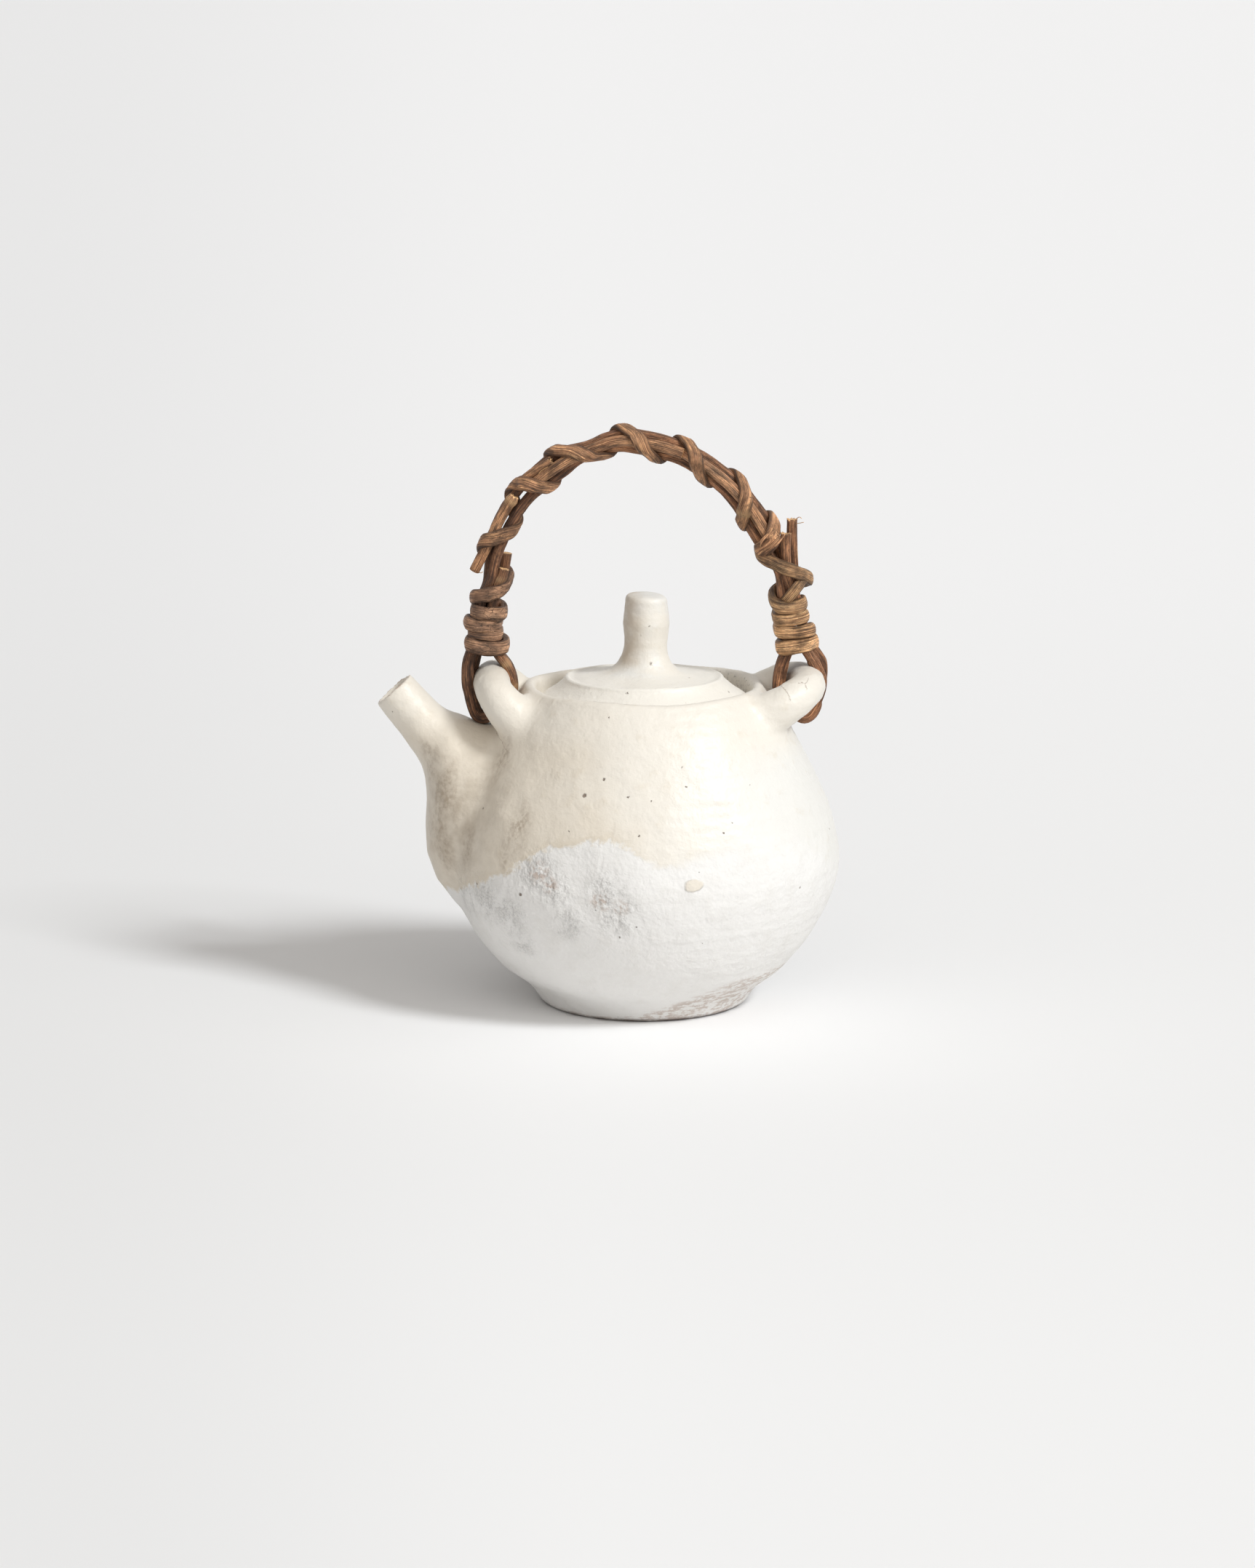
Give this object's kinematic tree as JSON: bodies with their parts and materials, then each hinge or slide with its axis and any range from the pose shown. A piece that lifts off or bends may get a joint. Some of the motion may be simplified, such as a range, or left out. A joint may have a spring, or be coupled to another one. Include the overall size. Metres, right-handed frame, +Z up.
{
  "type": "cane-handle teapot",
  "caption": "Round-bellied stoneware teapot with a lift-off lid, a side spout and a wound cane handle arched over the top.",
  "frame": {"origin": "centre of the flat foot, on the surface the pot stands on", "axes": "+Z up; the spout points along -X and the handle's arch lies in the XZ plane"},
  "size_m": [0.1556, 0.1318, 0.1978],
  "materials": {
    "body_glaze": "cream ash glaze over white slip, satin, with an unglazed patch at the foot",
    "lid_glaze": "cream ash glaze, satin",
    "core_cane": "dried brown vine, matt",
    "wrap_cane": "dried brown vine with fine ridges, matt",
    "pale_cane": "dried tan vine with fine ridges, matt"
  },
  "bodies": {
    "pot": {"pot_wall": "body_glaze", "spout": "body_glaze", "spout_lug": "body_glaze", "rear_lug": "body_glaze"},
    "lid": {"lid_plate": "lid_glaze", "lid_knob": "lid_glaze"},
    "handle": {"core_cane_front": "core_cane", "core_cane_back": "core_cane", "arch_cane": "core_cane", "wrap_cane": "wrap_cane", "left_binding": "wrap_cane", "right_binding": "pale_cane"}
  },
  "joints": [
    {"name": "lid_lift", "type": "slide", "parent": "pot", "child": "lid", "axis": [0, 0, 1], "range_m": [0, 0.04]},
    {"name": "handle_swing", "type": "hinge", "parent": "pot", "child": "handle", "pos_m": [0, 0, 0.1082], "axis": [1, 0, 0], "range_deg": [-15, 15]}
  ]
}
